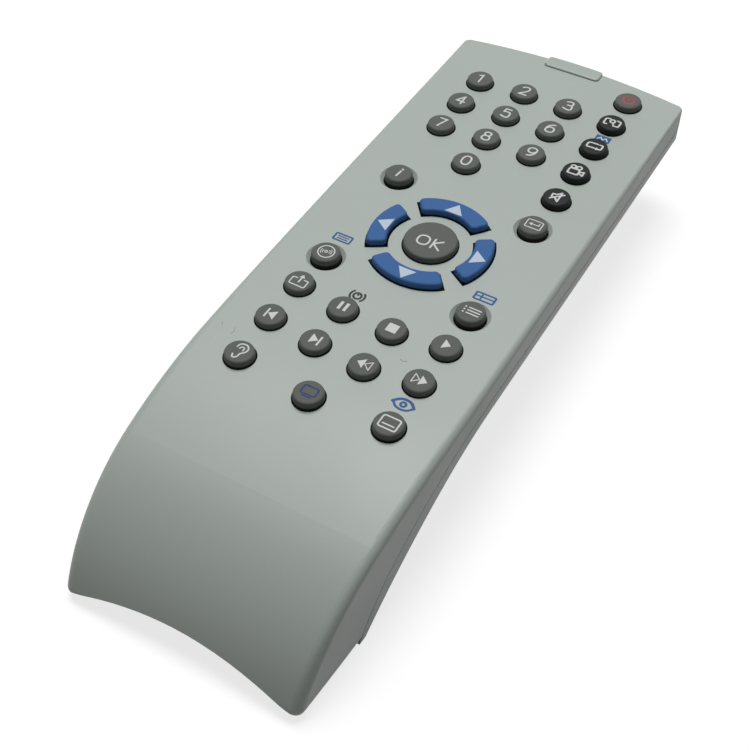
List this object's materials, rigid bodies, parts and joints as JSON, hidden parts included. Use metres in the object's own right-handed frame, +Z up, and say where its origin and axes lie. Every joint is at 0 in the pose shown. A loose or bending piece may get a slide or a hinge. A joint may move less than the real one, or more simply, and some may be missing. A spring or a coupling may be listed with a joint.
{
  "type": "disc player remote control",
  "caption": "Bowed hand-held infrared remote control with separate round rubber keys, curved arrow keys round a centre key, a raised window and a sliding battery cover",
  "frame": {"origin": "on the table plane under the middle of the outer box, between the two casing sides", "axes": "+X across the casing to the right of the keys, +Y along the casing to the infrared end, +Z up through the key tops"},
  "size_m": [0.056, 0.1642, 0.027],
  "materials": {
    "casing_plastic": "fine satin texture",
    "window_plastic": "smooth satin",
    "grey_key_rubber": "matte",
    "black_key_rubber": "matte",
    "blue_key_rubber": "matte",
    "silicone": "matte",
    "board_laminate": "varnished",
    "emitter_resin": "clear dark resin",
    "chip_resin": "moulded",
    "can_metal": "drawn can",
    "resonator_ceramic": "dipped",
    "cell_jacket": "plain printed jacket",
    "contact_metal": "nickel plated",
    "screw_metal": "zinc plated"
  },
  "bodies": {
    "casing": {"battery_left": "cell_jacket", "battery_right": "cell_jacket", "capacitor": "can_metal", "casing_screws": "screw_metal", "circuit_board": "board_laminate", "controller_chip": "chip_resin", "ir_emitters": "emitter_resin", "ir_window": "window_plastic", "keypad_mat": "silicone", "link_contact": "contact_metal", "lower_casing": "casing_plastic", "plate_contact": "contact_metal", "resistors": "chip_resin", "resonator": "resonator_ceramic", "spring_contact": "contact_metal", "transistor": "chip_resin", "upper_casing": "casing_plastic"},
    "cover": {"battery_cover": "casing_plastic"},
    "key_0_body": {"key_0": "grey_key_rubber"},
    "key_1_body": {"key_1": "grey_key_rubber"},
    "key_2_body": {"key_2": "grey_key_rubber"},
    "key_3_body": {"key_3": "grey_key_rubber"},
    "key_4_body": {"key_4": "grey_key_rubber"},
    "key_5_body": {"key_5": "grey_key_rubber"},
    "key_6_body": {"key_6": "grey_key_rubber"},
    "key_7_body": {"key_7": "grey_key_rubber"},
    "key_8_body": {"key_8": "grey_key_rubber"},
    "key_9_body": {"key_9": "grey_key_rubber"},
    "key_angle_body": {"key_angle": "black_key_rubber"},
    "key_disc_body": {"key_disc": "grey_key_rubber"},
    "key_down_body": {"key_down": "blue_key_rubber"},
    "key_enter_body": {"key_enter": "grey_key_rubber"},
    "key_folder_body": {"key_folder": "grey_key_rubber"},
    "key_forward_body": {"key_forward": "grey_key_rubber"},
    "key_info_body": {"key_info": "grey_key_rubber"},
    "key_left_body": {"key_left": "blue_key_rubber"},
    "key_list_body": {"key_list": "grey_key_rubber"},
    "key_mute_body": {"key_mute": "black_key_rubber"},
    "key_next_body": {"key_next": "grey_key_rubber"},
    "key_ok_body": {"key_ok": "grey_key_rubber"},
    "key_pause_body": {"key_pause": "grey_key_rubber"},
    "key_play_body": {"key_play": "grey_key_rubber"},
    "key_power_body": {"key_power": "grey_key_rubber"},
    "key_previous_body": {"key_previous": "grey_key_rubber"},
    "key_repeat_body": {"key_repeat": "black_key_rubber"},
    "key_rewind_body": {"key_rewind": "grey_key_rubber"},
    "key_right_body": {"key_right": "blue_key_rubber"},
    "key_screen_body": {"key_screen": "grey_key_rubber"},
    "key_sound_body": {"key_sound": "grey_key_rubber"},
    "key_stop_body": {"key_stop": "grey_key_rubber"},
    "key_subtitle_body": {"key_subtitle": "grey_key_rubber"},
    "key_up_body": {"key_up": "blue_key_rubber"},
    "key_zoom_body": {"key_zoom": "black_key_rubber"}
  },
  "joints": [
    {"name": "cover_slide", "type": "slide", "parent": "casing", "child": "cover", "axis": [0, -1, 0], "range_m": [0, 0.05]},
    {"name": "key_0_press", "type": "slide", "parent": "casing", "child": "key_0_body", "axis": [0, 0, -1], "range_m": [0, 0.0009], "stiffness_N_per_m": 1200},
    {"name": "key_1_press", "type": "slide", "parent": "casing", "child": "key_1_body", "axis": [0, 0, -1], "range_m": [0, 0.0009], "stiffness_N_per_m": 1200},
    {"name": "key_2_press", "type": "slide", "parent": "casing", "child": "key_2_body", "axis": [0, 0, -1], "range_m": [0, 0.0009], "stiffness_N_per_m": 1200},
    {"name": "key_3_press", "type": "slide", "parent": "casing", "child": "key_3_body", "axis": [0, 0, -1], "range_m": [0, 0.0009], "stiffness_N_per_m": 1200},
    {"name": "key_4_press", "type": "slide", "parent": "casing", "child": "key_4_body", "axis": [0, 0, -1], "range_m": [0, 0.0009], "stiffness_N_per_m": 1200},
    {"name": "key_5_press", "type": "slide", "parent": "casing", "child": "key_5_body", "axis": [0, 0, -1], "range_m": [0, 0.0009], "stiffness_N_per_m": 1200},
    {"name": "key_6_press", "type": "slide", "parent": "casing", "child": "key_6_body", "axis": [0, 0, -1], "range_m": [0, 0.0009], "stiffness_N_per_m": 1200},
    {"name": "key_7_press", "type": "slide", "parent": "casing", "child": "key_7_body", "axis": [0, 0, -1], "range_m": [0, 0.0009], "stiffness_N_per_m": 1200},
    {"name": "key_8_press", "type": "slide", "parent": "casing", "child": "key_8_body", "axis": [0, 0, -1], "range_m": [0, 0.0009], "stiffness_N_per_m": 1200},
    {"name": "key_9_press", "type": "slide", "parent": "casing", "child": "key_9_body", "axis": [0, 0, -1], "range_m": [0, 0.0009], "stiffness_N_per_m": 1200},
    {"name": "key_angle_press", "type": "slide", "parent": "casing", "child": "key_angle_body", "axis": [0, 0, -1], "range_m": [0, 0.0009], "stiffness_N_per_m": 1200},
    {"name": "key_disc_press", "type": "slide", "parent": "casing", "child": "key_disc_body", "axis": [0, 0, -1], "range_m": [0, 0.0009], "stiffness_N_per_m": 1200},
    {"name": "key_down_press", "type": "slide", "parent": "casing", "child": "key_down_body", "axis": [0, 0, -1], "range_m": [0, 0.0009], "stiffness_N_per_m": 1200},
    {"name": "key_enter_press", "type": "slide", "parent": "casing", "child": "key_enter_body", "axis": [0, 0, -1], "range_m": [0, 0.0009], "stiffness_N_per_m": 1200},
    {"name": "key_folder_press", "type": "slide", "parent": "casing", "child": "key_folder_body", "axis": [0, 0, -1], "range_m": [0, 0.0009], "stiffness_N_per_m": 1200},
    {"name": "key_forward_press", "type": "slide", "parent": "casing", "child": "key_forward_body", "axis": [0, 0, -1], "range_m": [0, 0.0009], "stiffness_N_per_m": 1200},
    {"name": "key_info_press", "type": "slide", "parent": "casing", "child": "key_info_body", "axis": [0, 0, -1], "range_m": [0, 0.0009], "stiffness_N_per_m": 1200},
    {"name": "key_left_press", "type": "slide", "parent": "casing", "child": "key_left_body", "axis": [0, 0, -1], "range_m": [0, 0.0009], "stiffness_N_per_m": 1200},
    {"name": "key_list_press", "type": "slide", "parent": "casing", "child": "key_list_body", "axis": [0, 0, -1], "range_m": [0, 0.0009], "stiffness_N_per_m": 1200},
    {"name": "key_mute_press", "type": "slide", "parent": "casing", "child": "key_mute_body", "axis": [0, 0, -1], "range_m": [0, 0.0009], "stiffness_N_per_m": 1200},
    {"name": "key_next_press", "type": "slide", "parent": "casing", "child": "key_next_body", "axis": [0, 0, -1], "range_m": [0, 0.0009], "stiffness_N_per_m": 1200},
    {"name": "key_ok_press", "type": "slide", "parent": "casing", "child": "key_ok_body", "axis": [0, 0, -1], "range_m": [0, 0.0009], "stiffness_N_per_m": 1200},
    {"name": "key_pause_press", "type": "slide", "parent": "casing", "child": "key_pause_body", "axis": [0, 0, -1], "range_m": [0, 0.0009], "stiffness_N_per_m": 1200},
    {"name": "key_play_press", "type": "slide", "parent": "casing", "child": "key_play_body", "axis": [0, 0, -1], "range_m": [0, 0.0009], "stiffness_N_per_m": 1200},
    {"name": "key_power_press", "type": "slide", "parent": "casing", "child": "key_power_body", "axis": [0, 0, -1], "range_m": [0, 0.0009], "stiffness_N_per_m": 1200},
    {"name": "key_previous_press", "type": "slide", "parent": "casing", "child": "key_previous_body", "axis": [0, 0, -1], "range_m": [0, 0.0009], "stiffness_N_per_m": 1200},
    {"name": "key_repeat_press", "type": "slide", "parent": "casing", "child": "key_repeat_body", "axis": [0, 0, -1], "range_m": [0, 0.0009], "stiffness_N_per_m": 1200},
    {"name": "key_rewind_press", "type": "slide", "parent": "casing", "child": "key_rewind_body", "axis": [0, 0, -1], "range_m": [0, 0.0009], "stiffness_N_per_m": 1200},
    {"name": "key_right_press", "type": "slide", "parent": "casing", "child": "key_right_body", "axis": [0, 0, -1], "range_m": [0, 0.0009], "stiffness_N_per_m": 1200},
    {"name": "key_screen_press", "type": "slide", "parent": "casing", "child": "key_screen_body", "axis": [0, 0, -1], "range_m": [0, 0.0009], "stiffness_N_per_m": 1200},
    {"name": "key_sound_press", "type": "slide", "parent": "casing", "child": "key_sound_body", "axis": [0, 0, -1], "range_m": [0, 0.0009], "stiffness_N_per_m": 1200},
    {"name": "key_stop_press", "type": "slide", "parent": "casing", "child": "key_stop_body", "axis": [0, 0, -1], "range_m": [0, 0.0009], "stiffness_N_per_m": 1200},
    {"name": "key_subtitle_press", "type": "slide", "parent": "casing", "child": "key_subtitle_body", "axis": [0, 0, -1], "range_m": [0, 0.0009], "stiffness_N_per_m": 1200},
    {"name": "key_up_press", "type": "slide", "parent": "casing", "child": "key_up_body", "axis": [0, 0, -1], "range_m": [0, 0.0009], "stiffness_N_per_m": 1200},
    {"name": "key_zoom_press", "type": "slide", "parent": "casing", "child": "key_zoom_body", "axis": [0, 0, -1], "range_m": [0, 0.0009], "stiffness_N_per_m": 1200}
  ]
}
